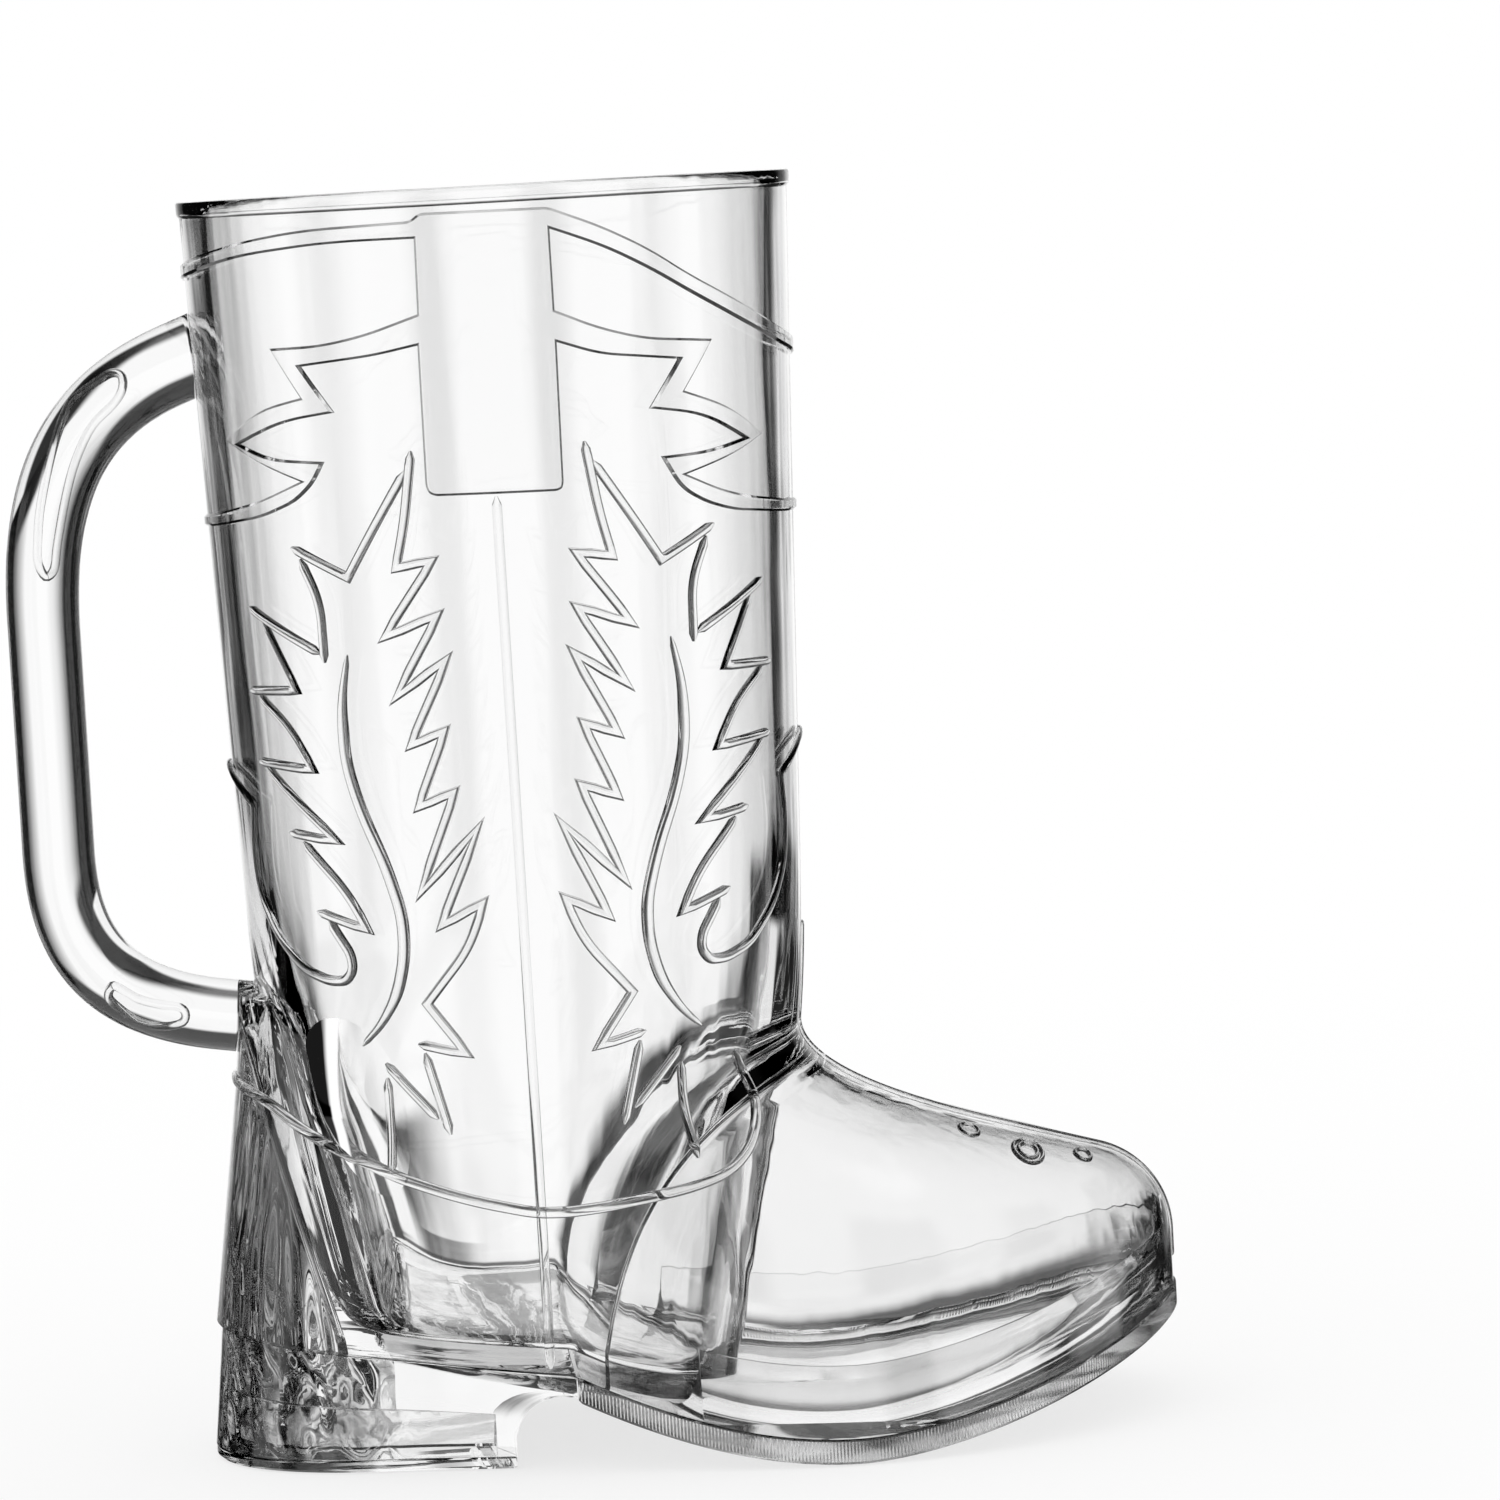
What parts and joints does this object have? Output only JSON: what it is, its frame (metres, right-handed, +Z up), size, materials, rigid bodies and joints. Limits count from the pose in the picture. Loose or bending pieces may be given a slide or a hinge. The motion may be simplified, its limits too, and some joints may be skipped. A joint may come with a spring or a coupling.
{
  "type": "boot mug",
  "caption": "Clear plastic drinking mug shaped like a western boot, with a round handle at the back, a drinking well in the shaft and a separate sole and heel.",
  "frame": {"origin": "on the table under the middle of the mug's overall box; the shaft's axis stands 8.55 mm behind it", "axes": "+X to the toe, +Y to the boot's left side, +Z up"},
  "size_m": [0.1404, 0.0716, 0.155],
  "materials": {
    "clear_plastic": "clear, glossy moulded plastic"
  },
  "bodies": {
    "root": {"boot_shell": "clear_plastic", "handle": "clear_plastic", "sole_plate": "clear_plastic", "heel_block": "clear_plastic", "heel_cap": "clear_plastic"}
  },
  "joints": []
}
